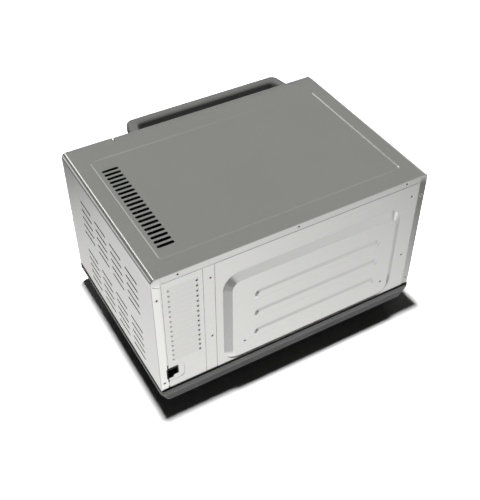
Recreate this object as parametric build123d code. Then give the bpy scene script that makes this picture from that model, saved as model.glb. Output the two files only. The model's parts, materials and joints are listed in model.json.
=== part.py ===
from build123d import *
import os

# Bench-top reflow oven.  Millimetres, +Z up, the door faces -Y, +X is the electronics side.
# The origin is on the bench, under the middle of the whole oven.

# ---- driving dimensions -------------------------------------------------------------------
WIDTH = 500.0            # across the sheet-metal cover
BODY_DEPTH = 347.5       # door front to rear flange
COVER_HEIGHT = 252.0     # cover alone, without the plinth
FOOT_HEIGHT = 19.0
SKIRT_HEIGHT = 9.0       # upright upper band of the plinth
TAPER_HEIGHT = 21.0      # lower band of the plinth, leaning inwards
HANDLE_REACH = 45.0      # handle bar in front of the door
BUMP_DEPTH = 7.0         # pressed bulge of the rear cover
RIB_DEPTH = 2.3          # ribs pressed out of that bulge
SHEET = 1.0              # cover sheet
PLATE = 1.2              # frame and chassis sheet
DOOR_THICK = 11.5        # door slab that stands in front of the cover
DIVIDE_X = 157.5         # middle of the gap between the door and the control panel

# ---- levels and planes that follow from them ----------------------------------------------
BASE_TOP = FOOT_HEIGHT + TAPER_HEIGHT + SKIRT_HEIGHT
TOP = BASE_TOP + COVER_HEIGHT
HALF = WIDTH / 2
REAR_PROUD = 0.2 + BUMP_DEPTH + RIB_DEPTH
FRONT = HANDLE_REACH - (HANDLE_REACH + BODY_DEPTH + REAR_PROUD) / 2
REAR = FRONT + BODY_DEPTH
MID_Y = (FRONT + REAR) / 2
FRAME_Y = FRONT + DOOR_THICK + 3.5           # front face of the steel front frame
CHASSIS_Z = 44.0                             # underside of the chassis plate

# cavity (inside faces of the liner)
CAV_X0 = -222.0
CAV_X1 = 128.0
CAV_Z0 = 84.0
CAV_Z1 = 274.0
CAV_Y0 = FRAME_Y + PLATE
CAV_Y1 = CAV_Y0 + 270.0
CAV_X = (CAV_X0 + CAV_X1) / 2
CAV_Z = (CAV_Z0 + CAV_Z1) / 2
PARTITION_X = 145.0

# door
DOOR_X0 = -HALF + 1.4                       # swings inside the cover's left wall
DOOR_X1 = DIVIDE_X - 1.5
DOOR_Z0 = BASE_TOP + 4.0
PIVOT_Y = FRONT + 6.0
PIVOT_Z = BASE_TOP + 12.0
PIN_R = 2.5
PIN_CLEARANCE = 0.05
KNUCKLE_R = 4.5
KNUCKLE_WIDTH = 6.0
HINGE_X = (-222.0, 130.0)
WINDOW_X = (-196.0, 102.0)
WINDOW_Z = (108.0, 240.0)

# heaters
TUBE_R = 5.0
CAP_R = 7.0
UPPER_HEATER_Z = 259.0
LOWER_HEATER_Z = 99.0
HEATER_Y = [CAV_Y0 + step for step in (60.0, 130.0, 200.0)]

# rack
RACK_Z = 150.0
RACK_Y0 = FRONT + 38.0
RACK_DEPTH = 214.0
RACK_X0 = CAV_X0 + 6.0
RACK_X1 = CAV_X1 - 6.0
RAIL_R = 2.2
WIRE_R = 1.3

# fans
FAN_X = CAV_X
FAN_Z = CAV_Z
SHAFT_R = 3.0
COOL_X = 200.0
COOL_Z = 214.0
COOL_Y0 = REAR - 34.0
COOL_THICK = 25.0

# control panel
PANEL_X0 = DIVIDE_X + 1.5
PANEL_X1 = HALF - SHEET
PANEL_X = (PANEL_X0 + PANEL_X1) / 2
PANEL_THICK = 3.0
BOARD_Y = FRONT + 26.0
KNOB_Z = 186.0
KNOB_R = 18.0
BUTTON_PITCH_X = 34.0
BUTTON_PITCH_Z = 26.0
BUTTON_Z = 142.0
BUTTON_W = 24.0
BUTTON_H = 13.0
BUTTON_TRAVEL = 1.5
ROCKER_Z = 80.0
ROCKER_TILT = 7.0

SCREW_R = 1.5
SCREW_HEAD_R = 2.9       # countersunk heads, flush with the sheet
SCREW_SOCKET_R = 1.45    # across the corners of the hexagon socket
SCREW_SOCKET_DEPTH = 1.0


# ---- shape helpers ------------------------------------------------------------------------
def block(x0, x1, y0, y1, z0, z1):
    """Box between two opposite corners."""
    return Pos((x0 + x1) / 2, (y0 + y1) / 2, (z0 + z1) / 2) * Box(x1 - x0, y1 - y0, z1 - z0)


def rod_x(x0, x1, y, z, radius):
    return Pos((x0 + x1) / 2, y, z) * Rot(0, 90, 0) * Cylinder(radius, x1 - x0)


def rod_y(x, y0, y1, z, radius):
    return Pos(x, (y0 + y1) / 2, z) * Rot(90, 0, 0) * Cylinder(radius, y1 - y0)


def rod_z(x, y, z0, z1, radius):
    return Pos(x, y, (z0 + z1) / 2) * Cylinder(radius, z1 - z0)


def outline_y(x0, x1, z0, z1, y, radius):
    """Rounded rectangle that faces the front, in the plane at y."""
    plane = Plane(origin=((x0 + x1) / 2, y, (z0 + z1) / 2), x_dir=(1, 0, 0), z_dir=(0, -1, 0))
    if radius > 0:
        return plane * RectangleRounded(x1 - x0, z1 - z0, radius)
    return plane * Rectangle(x1 - x0, z1 - z0)


def outline_z(x0, x1, y0, y1, z, radius):
    """Rounded rectangle that faces up, in the plane at z."""
    return Pos((x0 + x1) / 2, (y0 + y1) / 2, z) * RectangleRounded(x1 - x0, y1 - y0, radius)


def slab_y(x0, x1, z0, z1, y0, y1, radius=0.0):
    """Plate with rounded corners between the planes y0 and y1."""
    return extrude(outline_y(x0, x1, z0, z1, y1, radius), amount=y1 - y0)


def slab_z(x0, x1, y0, y1, z0, z1, radius):
    """Plate with rounded corners between the heights z0 and z1."""
    return extrude(outline_z(x0, x1, y0, y1, z0, radius), amount=z1 - z0)


def press_y(x0, x1, z0, z1, y_base, y_face, lean, base_radius, face_radius):
    """Pressed form with leaning walls, from its base outline to its smaller face."""
    base = outline_y(x0, x1, z0, z1, y_base, base_radius)
    face = outline_y(x0 + lean, x1 - lean, z0 + lean, z1 - lean, y_face, face_radius)
    return loft([base, face])


def shell_box(x0, x1, y0, y1, z0, z1, thick):
    """Box open at the front, with walls of the given thickness outside the stated space."""
    outer = block(x0 - thick, x1 + thick, y0, y1 + thick, z0 - thick, z1 + thick)
    return outer - block(x0, x1, y0, y1, z0, z1)


def save(name, *pieces):
    """Write one node, made of one solid or of several separate ones."""
    shape = pieces[0] if len(pieces) == 1 else Compound(children=list(pieces))
    export_step(shape, f"parts/{name}.step")


# ---- screws -------------------------------------------------------------------------------
def screw_y(x, z, face_y, length):
    """Countersunk screw that enters a rear face along -Y, before its socket is cut."""
    face = Plane(origin=(x, face_y, z), x_dir=(1, 0, 0), z_dir=(0, -1, 0))
    sink = SCREW_HEAD_R - SCREW_R
    head = face * Cone(SCREW_HEAD_R, SCREW_R, sink, align=(Align.CENTER, Align.CENTER, Align.MIN))
    return head + rod_y(x, face_y - length, face_y - sink, z, SCREW_R)


def with_socket(screw):
    """The screw with the hexagon socket in its head."""
    box = screw.bounding_box()
    centre = box.center()
    face = Plane(origin=(centre.X, box.max.Y, centre.Z), x_dir=(1, 0, 0), z_dir=(0, -1, 0))
    return screw - extrude(face * RegularPolygon(SCREW_SOCKET_R, 6), amount=SCREW_SOCKET_DEPTH)


TOP_SCREW_Z = TOP - 6.0
SIDE_BAND_SCREW_Z = (BASE_TOP + 17.0, BASE_TOP + 209.0)
STRIP_SCREWS = ((154.0, 83.0), (154.0, 213.0))
EDGE_SCREWS = ((-222.0, 83.5), (-222.0, 214.5))
BUMP_SCREWS = ((98.5, 46.0), (-176.0, 46.0))

flange_screws = [screw_y(x, TOP_SCREW_Z, REAR, 4.0) for x in (-207.0, 0.0, 206.5)]
flange_screws += [screw_y(side * 242.5, z, REAR, 4.0) for side in (-1, 1) for z in SIDE_BAND_SCREW_Z]
strip_screws = [screw_y(x, BASE_TOP + z, REAR, 4.0) for x, z in STRIP_SCREWS]
edge_screws = [screw_y(x, BASE_TOP + z, REAR + 0.2, 4.0) for x, z in EDGE_SCREWS]
bump_screws = [screw_y(x, BASE_TOP + z, REAR + 0.2 + BUMP_DEPTH, 4.0) for x, z in BUMP_SCREWS]


# ---- outer cover --------------------------------------------------------------------------
COVER_EDGE_R = 7.7
RECESS_DEPTH = 1.2
RECESS_LEAN = 2.2
RECESS = (-220.0, 218.5, MID_Y - 128.0, MID_Y + 140.0)
TOP_FLANGE = 13.0
SIDE_FLANGE = 14.0
REAR_BEND_R = 1.6
TOP_SLOTS = 20
TOP_SLOT_X = 195.4
TOP_SLOT_WIDTH = 6.4
SIDE_SLOT_WIDTH = 4.2
TOP_SLOT_PITCH = 10.86
SIDE_SLOT_Y = (-83.5, -23.2, 36.6, 97.0)
SIDE_SLOT_Z = (23.6, 40.2, 55.9, 72.6, 89.2, 132.6, 148.6, 165.2, 181.9, 198.6)


def cover_section(inset, y0, y1):
    """Solid with the cover's arched cross-section, open towards the bench."""
    width = WIDTH - 2 * inset
    height = COVER_HEIGHT - inset
    arch = Rectangle(width, height, align=(Align.CENTER, Align.MIN))
    arch = fillet(arch.vertices().sort_by(Axis.Y)[-2:], COVER_EDGE_R - inset)
    plane = Plane(origin=(0, y1, BASE_TOP), x_dir=(1, 0, 0), z_dir=(0, -1, 0))
    return extrude(plane * arch, amount=y1 - y0)


def top_recess(drop):
    """Form that presses the shallow rectangle down into the cover's top."""
    x0, x1, y0, y1 = RECESS
    upper = outline_z(x0, x1, y0, y1, TOP - drop, 7.0)
    lower = outline_z(x0 + RECESS_LEAN, x1 - RECESS_LEAN, y0 + RECESS_LEAN, y1 - RECESS_LEAN,
                      TOP - drop - RECESS_DEPTH, 5.0)
    return loft([upper, lower])


RELIEF_R = 1.6
RELIEF_PLACE = (233.1, 235.6)        # x, and height over the plinth
CORNER_GAP = ((232.3, 237.0), (231.0, 239.5), (236.0, 252.0),
              (249.0, 252.0), (249.0, 238.5), (236.0, 231.2))


def corner_gap(side):
    """Wedge between the mitred ends of the rear flange's strips, inside the cover's wall."""
    points = [(side * x, z) for x, z in CORNER_GAP]
    plane = Plane(origin=(0, REAR + 1, BASE_TOP), x_dir=(1, 0, 0), z_dir=(0, -1, 0))
    wedge = extrude(plane * make_face(Polyline(*points, close=True)), amount=3)
    return wedge & cover_section(SHEET + REAR_BEND_R, REAR - 2, REAR + 1)


def outer_cover():
    shell = cover_section(0, FRONT, REAR)
    shell = fillet(shell.faces().sort_by(Axis.Y)[-1].edges().sort_by(Axis.Z)[1:], REAR_BEND_R)
    shell -= cover_section(SHEET, FRONT - 1, REAR - SHEET)
    shell += top_recess(SHEET) - block(-HALF, HALF, FRONT, REAR, TOP - 0.5, TOP + 1)
    shell -= top_recess(0)
    # the wrap stops behind the door, and runs to the front over the control panel
    shell -= block(-HALF - 1, DIVIDE_X + 1, FRONT - 1, FRONT + DOOR_THICK, BASE_TOP - 1, TOP + 1)
    # rear flange: a top strip and two side bands, with relieved corners
    shell -= block(-HALF + SIDE_FLANGE, HALF - SIDE_FLANGE, REAR - 2, REAR + 1,
                   BASE_TOP - 1, TOP - TOP_FLANGE)
    for side in (-1, 1):
        shell -= rod_y(side * RELIEF_PLACE[0], REAR - 2, REAR + 1, BASE_TOP + RELIEF_PLACE[1], RELIEF_R)
        shell -= corner_gap(side)
    slots = [Pos(TOP_SLOT_X, MID_Y - 93.6 + step * TOP_SLOT_PITCH, TOP - RECESS_DEPTH)
             * extrude(SlotOverall(29.0, TOP_SLOT_WIDTH), amount=6, both=True) for step in range(TOP_SLOTS)]
    side_plane = Plane(origin=(HALF, 0, 0), x_dir=(0, 1, 0), z_dir=(1, 0, 0))
    slots += [side_plane * Pos(MID_Y + y, BASE_TOP + z)
              * extrude(SlotOverall(44.5, SIDE_SLOT_WIDTH), amount=6, both=True)
              for y in SIDE_SLOT_Y for z in SIDE_SLOT_Z]
    shell -= slots
    shell -= inlet_cut()
    return shell - flange_screws


# ---- plinth and feet ----------------------------------------------------------------------
PLINTH_SIDE = 1.0        # plinth outside the cover
PLINTH_FRONT = 2.0
PLINTH_REAR = 2.5
PLINTH_R = 6.0
PLINTH_WALL = 3.0
SIDE_LEAN = 11.0         # how far in the lower band runs
FRONT_LEAN = 9.0
REAR_LEAN = 3.5


def plinth_form(inset, z0, z1):
    """Upright band, with a lower band that leans inwards under it."""
    x1 = HALF + PLINTH_SIDE - inset
    y0, y1 = FRONT - PLINTH_FRONT + inset, REAR + PLINTH_REAR - inset
    knee = FOOT_HEIGHT + TAPER_HEIGHT
    radius = PLINTH_R - inset
    band = slab_z(-x1, x1, y0, y1, knee, z1, radius)
    low = outline_z(-x1 + SIDE_LEAN, x1 - SIDE_LEAN, y0 + FRONT_LEAN, y1 - REAR_LEAN, z0, radius)
    return band + loft([low, outline_z(-x1, x1, y0, y1, knee, radius)])


FOOT_X = 205.0
FOOT_Y = 135.0
FOOT_PLACES = [(sx * FOOT_X, MID_Y + sy * FOOT_Y) for sx in (-1, 1) for sy in (-1, 1)]


def base_pan():
    pan = plinth_form(0, FOOT_HEIGHT, BASE_TOP - 0.8)
    pan -= plinth_form(PLINTH_WALL, FOOT_HEIGHT + 2.5, BASE_TOP + 1)
    for x, y in FOOT_PLACES:
        pan += rod_z(x, y, FOOT_HEIGHT, CHASSIS_Z, 9.0)
    for side in (-1, 1):
        for step in range(8):
            slot = Pos(side * 110.0, MID_Y - 70.0 + step * 20.0, FOOT_HEIGHT)
            pan -= slot * extrude(SlotOverall(90.0, 5.0), amount=6, both=True)
    return pan


def chassis_plate():
    plate = slab_z(-HALF + 3, HALF - 3, FRAME_Y + 8, REAR - 2.1, CHASSIS_Z, CHASSIS_Z + PLATE, 6.0)
    for step in range(6):
        slot = Pos(196.0, MID_Y - 110.0 + step * 14.0, CHASSIS_Z)
        plate -= slot * extrude(SlotOverall(60.0, 5.0), amount=4, both=True)
    return plate


def feet():
    pads = []
    for x, y in FOOT_PLACES:
        pad = Pos(x, y, 0) * Cone(11.0, 14.0, FOOT_HEIGHT, align=(Align.CENTER, Align.CENTER, Align.MIN))
        pads.append(pad - rod_z(x, y, -1, 4.0, 4.0))
    return pads


# ---- rear panels --------------------------------------------------------------------------
ELEC_X0 = 167.0
ELEC_X1 = HALF - SIDE_FLANGE - 2.2
STRIP_X0 = 147.0
STRIP_X1 = ELEC_X0 - 0.8
CAVITY_COVER_X0 = -HALF + SIDE_FLANGE + 0.6
CAVITY_COVER_X1 = STRIP_X0 - 0.8
REAR_TOP = TOP - TOP_FLANGE - 0.7
LOUVRES = 15
LOUVRE_PITCH = 10.98
BUMP_X0 = -204.0
BUMP_X1 = 134.0
BUMP_LEAN = 13.5
RIB_X0 = -159.5
RIB_X1 = 81.0
RIB_HEIGHT = 21.0
RIB_Z = (54.6, 98.8, 143.0)
INLET_X = (216.7, 237.6)
INLET_STEP = (9.5, 5.0)   # notch in its lower corner
INLET_DISH_X0 = 205.6
INLET_Z = (BASE_TOP + 24.9, BASE_TOP + 46.9)


def inlet_form(inset, y0, y1):
    """Stepped shape of the mains inlet; the step has a hollow corner."""
    x0, x1 = INLET_X[0] + inset, INLET_X[1] - inset
    z0, z1 = INLET_Z[0] + inset, INLET_Z[1] - inset
    step_x, step_z = INLET_X[0] + INLET_STEP[0] + inset, INLET_Z[0] + INLET_STEP[1] + inset
    points = [(x0, z1), (x1, z1), (x1, z0), (step_x, z0), (step_x, step_z), (x0, step_z)]
    plane = Plane(origin=(0, y1, 0), x_dir=(1, 0, 0), z_dir=(0, -1, 0))
    face = make_face(Polyline(*points, close=True))
    face = fillet(face.vertices().sort_by_distance((step_x, step_z, 0))[0], 4.0)
    return extrude(plane * face, amount=y1 - y0)


def inlet_cut():
    """Stepped hole for the mains inlet, through the flange and the electronics cover."""
    return inlet_form(0.0, REAR - 4, REAR + 2)


def rear_panel():
    back = REAR - SHEET
    panel = slab_y(-HALF + 1.2, HALF - 1.2, BASE_TOP, TOP - 1.3, back - SHEET, back, 8.0)
    panel += block(STRIP_X0, STRIP_X1, back, REAR, BASE_TOP, REAR_TOP)
    # openings behind the two bolted covers
    panel -= block(BUMP_X0 + 2, CAVITY_COVER_X1 - 14, back - 3, REAR + 1, BASE_TOP + 6, REAR_TOP - 22)
    panel -= block(ELEC_X0 + 6, ELEC_X1 - 4, back - 3, REAR + 1, BASE_TOP + 12, REAR_TOP - 10)
    panel -= block(INLET_X[0] - 18, INLET_X[1] + 0.5, back - 3, REAR + 1, INLET_Z[0] - 10, INLET_Z[1] + 9)
    return panel - flange_screws - strip_screws - edge_screws


LOUVRE_X = (174.4, 226.4)
LOUVRE_PROUD = 1.5
LOUVRE_END = 4.4         # length of each sloping end


def louvre_wedge(z_top, z_low, y_low, inset):
    """Wedge that rises downwards from the sheet, with both ends sloping back to it."""
    x0, x1 = LOUVRE_X[0] + inset, LOUVRE_X[1] - inset
    back = REAR - 1.5
    side = [(back, z_top), (REAR - inset, z_top), (y_low, z_low), (back, z_low)]
    plane = Plane(origin=(x0, 0, 0), x_dir=(0, 1, 0), z_dir=(1, 0, 0))
    wedge = extrude(plane * make_face(Polyline(*side, close=True)), amount=x1 - x0)
    plan = [(x0, back), (x0, REAR - inset), (x0 + LOUVRE_END, REAR + LOUVRE_PROUD - inset),
            (x1 - LOUVRE_END, REAR + LOUVRE_PROUD - inset), (x1, REAR - inset), (x1, back)]
    outline = make_face(Polyline(*plan, close=True))
    return wedge & extrude(Pos(0, 0, z_low - 1) * outline, amount=z_top - z_low + 2)


def louvre(z):
    """Pressed louvre with its mouth on the lower edge: the hood and the hollow behind it."""
    hood = louvre_wedge(z + 5.2, z - 2.6, REAR + LOUVRE_PROUD, 0.0)
    return hood, louvre_wedge(z + 2.6, z - 3.0, REAR + LOUVRE_PROUD - 0.8, 0.8)


def electronics_rear_cover():
    back = REAR - SHEET
    plate = block(ELEC_X0, ELEC_X1, back, REAR, BASE_TOP, REAR_TOP)
    # shallow dish around the inlet
    dish = (INLET_DISH_X0, ELEC_X1 + 12.0, INLET_Z[0] - 8.0, INLET_Z[1] + 5.6)
    plate += slab_y(dish[0] - 1, ELEC_X1, dish[2] - 1, dish[3] + 1, back - 0.8, back)
    plate -= press_y(*dish, REAR + 0.1, REAR - 0.6, 1.0, 10.0, 9.0)
    louvres = [louvre(BASE_TOP + 66.6 + step * LOUVRE_PITCH) for step in range(LOUVRES)]
    plate += [hood for hood, _ in louvres]
    plate -= [hollow for _, hollow in louvres]
    return plate - inlet_cut()


def cavity_rear_cover():
    back = REAR - SHEET
    face = REAR + 0.2
    plate = block(CAVITY_COVER_X0, CAVITY_COVER_X1, back, face, BASE_TOP, REAR_TOP)
    z0, z1 = BASE_TOP + 2.5, BASE_TOP + 202.0
    bump_face = face + BUMP_DEPTH
    plate += press_y(BUMP_X0, BUMP_X1, z0, z1, face, bump_face, BUMP_LEAN, 30.0, 16.0)
    plate -= press_y(BUMP_X0 + 1.5, BUMP_X1 - 1.5, z0 + 1.5, z1 - 1.5, back - 0.1, bump_face - PLATE,
                     BUMP_LEAN - 0.8, 29.0, 15.5)
    for z in RIB_Z:
        low, high = BASE_TOP + z - RIB_HEIGHT / 2, BASE_TOP + z + RIB_HEIGHT / 2
        plate += press_y(RIB_X0, RIB_X1, low, high, bump_face, bump_face + RIB_DEPTH, 4.0, 10.4, 6.4)
        plate -= press_y(RIB_X0 + 1, RIB_X1 - 1, low + 1, high - 1, bump_face - PLATE - 0.1,
                         bump_face + RIB_DEPTH - PLATE, 3.6, 9.4, 5.8)
    return plate - bump_screws - edge_screws


# ---- front frame --------------------------------------------------------------------------
SILL_Z = BASE_TOP + 23.0
SILL_Y = FRONT + 20.0


def front_frame():
    frame = slab_y(-HALF + 1.2, HALF - 1.2, SILL_Z - 10, TOP - 1.3, FRAME_Y, FRAME_Y + PLATE, 7.5)
    frame -= block(-HALF, HALF, FRAME_Y - 1, FRAME_Y + 3, SILL_Z - 11, SILL_Z)
    frame -= slab_y(CAV_X0, CAV_X1, CAV_Z0, CAV_Z1, FRAME_Y - 1, FRAME_Y + 3, 4.0)
    frame -= slab_y(PANEL_X0 + 8, PANEL_X1 - 8, SILL_Z + 8, TOP - 14, FRAME_Y - 1, FRAME_Y + 3, 4.0)
    # the lower edge steps back, so that the door's lower lip can swing under it
    frame += block(-HALF + 1.2, HALF - 1.2, FRAME_Y, SILL_Y + PLATE, SILL_Z, SILL_Z + PLATE)
    frame += block(-HALF + 1.2, HALF - 1.2, SILL_Y, SILL_Y + PLATE, CHASSIS_Z + PLATE, SILL_Z)
    frame -= block(CATCH_X - 7, CATCH_X + 7, FRAME_Y - 1, FRAME_Y + 3, CATCH_Z - 6, CATCH_Z + 6)
    frame -= block(PANEL_X - 13, PANEL_X + 13, FRAME_Y - 1, SILL_Y + 3, ROCKER_Z - 12, ROCKER_Z + 12)
    return frame


def hinge_brackets():
    brackets = []
    for x in HINGE_X:
        x0, x1 = x - KNUCKLE_WIDTH / 2, x + KNUCKLE_WIDTH / 2
        arm = block(x0, x1, PIVOT_Y, SILL_Y, PIVOT_Z - 4, PIVOT_Z + 4)
        arm += rod_x(x0, x1, PIVOT_Y, PIVOT_Z, KNUCKLE_R)
        foot = block(x - 9, x + 9, SILL_Y - 2, SILL_Y, BASE_TOP + 1, SILL_Z - 1)
        brackets.append(arm + foot - rod_x(x0 - 1, x1 + 1, PIVOT_Y, PIVOT_Z, PIN_R + PIN_CLEARANCE))
    return brackets


CATCH_X = CAV_X
CATCH_Z = CAV_Z1 + 12.0


def door_catch():
    """Roller catch that holds the striker when the door is shut."""
    y0 = FRAME_Y + PLATE
    body = block(CATCH_X - 16, CATCH_X + 16, y0, y0 + 12, CATCH_Z - 7, CATCH_Z + 7)
    body -= block(CATCH_X - 7, CATCH_X + 7, y0 - 1, y0 + 10, CATCH_Z - 6, CATCH_Z + 6)
    return body


# ---- cavity -------------------------------------------------------------------------------
LAMP_Y = CAV_Y0 + 36.0
LAMP_Z = CAV_Z1 - 40.0
PROBE_Y = CAV_Y0 + 78.0
PROBE_Z = CAV_Z + 42.0
RAIL_LEVELS = (RACK_Z, RACK_Z + 52.0)


def heater_rows():
    return [(y, z) for z in (LOWER_HEATER_Z, UPPER_HEATER_Z) for y in HEATER_Y]


def cavity_cuts():
    """Holes through the liner and its insulation."""
    cuts = [rod_x(CAV_X0 - 30, CAV_X0 + 1, y, z, CAP_R + 0.1) for y, z in heater_rows()]
    cuts += [rod_x(CAV_X1 - 1, CAV_X1 + 30, y, z, CAP_R + 0.1) for y, z in heater_rows()]
    cuts.append(block(CAV_X1 - 1, PARTITION_X, LAMP_Y - 14, LAMP_Y + 14, LAMP_Z - 14, LAMP_Z + 14))
    cuts.append(rod_x(CAV_X1 - 1, PARTITION_X, PROBE_Y, PROBE_Z, 4.0))
    cuts.append(rod_y(FAN_X, CAV_Y1 - 1, CAV_Y1 + 30, FAN_Z, SHAFT_R + 3.0))
    return cuts


def cavity_liner():
    liner = shell_box(CAV_X0, CAV_X1, CAV_Y0, CAV_Y1, CAV_Z0, CAV_Z1, SHEET)
    return liner - cavity_cuts()


def cavity_insulation():
    outer = block(CAV_X0 - 15, PARTITION_X - 1, CAV_Y0 + 14, CAV_Y1 + 9, CAV_Z0 - 16, CAV_Z1 + 16)
    inner = block(CAV_X0 - SHEET, CAV_X1 + SHEET, CAV_Y0, CAV_Y1 + SHEET, CAV_Z0 - SHEET, CAV_Z1 + SHEET)
    return outer - inner - cavity_cuts()


def partition_wall():
    wall = block(PARTITION_X, PARTITION_X + PLATE, FRAME_Y + PLATE + 8.5, REAR - 2.1,
                 CHASSIS_Z + PLATE, TOP - 4)
    wall -= rod_x(PARTITION_X - 1, PARTITION_X + 3, PROBE_Y, PROBE_Z, 4.0)
    wall -= rod_x(PARTITION_X - 1, PARTITION_X + 3, CAV_Y1 + 30, 70.0, 8.0)
    return wall


def rack_guides():
    """Pairs of ledges along both side walls; the rack's rails run between a pair."""
    y0, y1 = RACK_Y0 - 2, RACK_Y0 + RACK_DEPTH
    gap = RAIL_R + 0.6
    guides = []
    for wall, inner in ((CAV_X0, CAV_X0 + 11), (CAV_X1, CAV_X1 - 11)):
        x0, x1 = sorted((wall, inner))
        back = sorted((wall, wall + (1.0 if inner > wall else -1.0)))
        for level in RAIL_LEVELS:
            guide = block(*back, y0, y1, level - gap - 4, level + gap + 4)
            guide += block(x0, x1, y0, y1, level - gap - 1, level - gap)
            guide += block(x0, x1, y0, y1, level + gap, level + gap + 1)
            guides.append(guide)
    return guides


def heater_tubes(level):
    return [rod_x(CAV_X0 + 2, CAV_X1 - 2, y, level, TUBE_R) for y in HEATER_Y]


def heater_end_caps():
    """Ceramic holders that grip both ends of every tube and pass through the walls."""
    caps = []
    for y, z in heater_rows():
        for x0, x1 in ((CAV_X0 - 14, CAV_X0 + 6), (CAV_X1 - 6, CAV_X1 + 14)):
            cap = rod_x(x0, x1, y, z, CAP_R)
            caps.append(cap - rod_x(CAV_X0 + 2, CAV_X1 - 2, y, z, TUBE_R))
    return caps


def reflector(level, towards):
    """Bent sheet with one shallow trough behind each tube."""
    x0, x1 = CAV_X0 + 8, CAV_X1 - 8
    trough, flat = 9.0, 16.0
    points = [(HEATER_Y[0] - flat - 12, level)]
    for y in HEATER_Y:
        points += [(y - flat, level), (y - flat / 2, level + towards * trough),
                   (y + flat / 2, level + towards * trough), (y + flat, level)]
    points.append((HEATER_Y[-1] + flat + 12, level))
    back = [(y, z + 0.9) for y, z in reversed(points)]
    plane = Plane(origin=(x0, 0, 0), x_dir=(0, 1, 0), z_dir=(1, 0, 0))
    return extrude(plane * make_face(Polyline(*points, *back, close=True)), amount=x1 - x0)


GUARD_R = 82.0
GUARD_Y0 = CAV_Y1 - 27.0


def fan_guard():
    """Dished perforated cover over the convection fan."""
    dish = rod_y(FAN_X, GUARD_Y0, CAV_Y1, FAN_Z, GUARD_R)
    dish -= rod_y(FAN_X, GUARD_Y0 + 1.0, CAV_Y1 + 1, FAN_Z, GUARD_R - 1.0)
    slots = []
    for radius, length, count in ((22.0, 9.0, 6), (38.0, 12.0, 10), (54.0, 14.0, 14), (69.0, 14.0, 18)):
        for step in range(count):
            spin = Plane(origin=(FAN_X, GUARD_Y0, FAN_Z), x_dir=(1, 0, 0), z_dir=(0, -1, 0))
            slots.append(spin * Rot(0, 0, step * 360 / count) * Pos(radius, 0)
                         * extrude(SlotOverall(length, 4.5), amount=3, both=True))
    for step in range(24):
        turn = Pos(FAN_X, CAV_Y1 - 12, FAN_Z) * Rot(0, step * 15.0, 0)
        slots.append(turn * Pos(GUARD_R, 0, 0) * Box(8, 14, 6))
    return dish - slots


def convection_impeller():
    y0, y1 = GUARD_Y0 + 5, CAV_Y1 - 5
    wheel = rod_y(FAN_X, y1 - 1.5, y1, FAN_Z, 62.0) + rod_y(FAN_X, y0 + 4, y1, FAN_Z, 9.0)
    for step in range(12):
        blade = Pos(39.0, 0, 0) * Rot(0, 20, 0) * Box(44.0, y1 - y0, 1.2)
        wheel += Pos(FAN_X, (y0 + y1) / 2, FAN_Z) * Rot(0, step * 30.0, 0) * blade
    return wheel + rod_y(FAN_X, y1, MOTOR_Y0 + 14, FAN_Z, SHAFT_R)


MOTOR_Y0 = CAV_Y1 + 14.0


def convection_motor():
    stator = block(FAN_X - 32, FAN_X + 32, MOTOR_Y0 + 4, MOTOR_Y0 + 26, FAN_Z - 30, FAN_Z + 30)
    stator = fillet(stator.edges().filter_by(Axis.Y), 5.0)
    motor = stator + rod_y(FAN_X, MOTOR_Y0, MOTOR_Y0 + 32, FAN_Z, 12.0)
    motor += block(FAN_X - 20, FAN_X + 20, MOTOR_Y0 + 2, MOTOR_Y0 + 28, FAN_Z - 44, FAN_Z - 24)
    return motor - rod_y(FAN_X, MOTOR_Y0 - 1, MOTOR_Y0 + 16, FAN_Z, SHAFT_R + PIN_CLEARANCE)


def motor_bracket():
    y0 = MOTOR_Y0 - 5.0
    bridge = block(FAN_X - 60, FAN_X + 60, y0 + 3.8, y0 + 5, FAN_Z - 12, FAN_Z + 12)
    bridge -= rod_y(FAN_X, y0 - 1, y0 + 8, FAN_Z, 12.0)
    for side in (-1, 1):
        x0, x1 = sorted((FAN_X + side * 58.8, FAN_X + side * 60))
        bridge += block(x0, x1, y0, y0 + 5, FAN_Z - 12, FAN_Z + 12)
        x0, x1 = sorted((FAN_X + side * 58.8, FAN_X + side * 74))
        bridge += block(x0, x1, y0, y0 + 1.2, FAN_Z - 12, FAN_Z + 12)
    return bridge + [rod_y(FAN_X + side * 20, y0 + 4.5, MOTOR_Y0 + 4, FAN_Z, 3.0) for side in (-1, 1)]


def cavity_lamp():
    holder = block(CAV_X1 + 2.5, PARTITION_X, LAMP_Y - 13, LAMP_Y + 13, LAMP_Z - 13, LAMP_Z + 13)
    holder -= block(CAV_X1 + 2, PARTITION_X - 2, LAMP_Y - 11, LAMP_Y + 11, LAMP_Z - 11, LAMP_Z + 11)
    return holder, rod_x(PARTITION_X - 11, PARTITION_X - 2, LAMP_Y, LAMP_Z, 5.5)


def lamp_lens():
    return slab_x(LAMP_Y - 14, LAMP_Y + 14, LAMP_Z - 14, LAMP_Z + 14, CAV_X1 - 1.5, CAV_X1 + 2.5, 3.0)


def slab_x(y0, y1, z0, z1, x0, x1, radius):
    """Plate that faces the side, with rounded corners."""
    plane = Plane(origin=(x0, (y0 + y1) / 2, (z0 + z1) / 2), x_dir=(0, 1, 0), z_dir=(1, 0, 0))
    return extrude(plane * RectangleRounded(y1 - y0, z1 - z0, radius), amount=x1 - x0)


def thermocouple_probe():
    probe = rod_x(CAV_X1 - 45, PARTITION_X + 16, PROBE_Y, PROBE_Z, 1.6)
    probe += rod_x(CAV_X1 + 2, PARTITION_X + 8, PROBE_Y, PROBE_Z, 4.0)
    return probe + Pos(CAV_X1 - 45, PROBE_Y, PROBE_Z) * Sphere(1.6)


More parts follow.
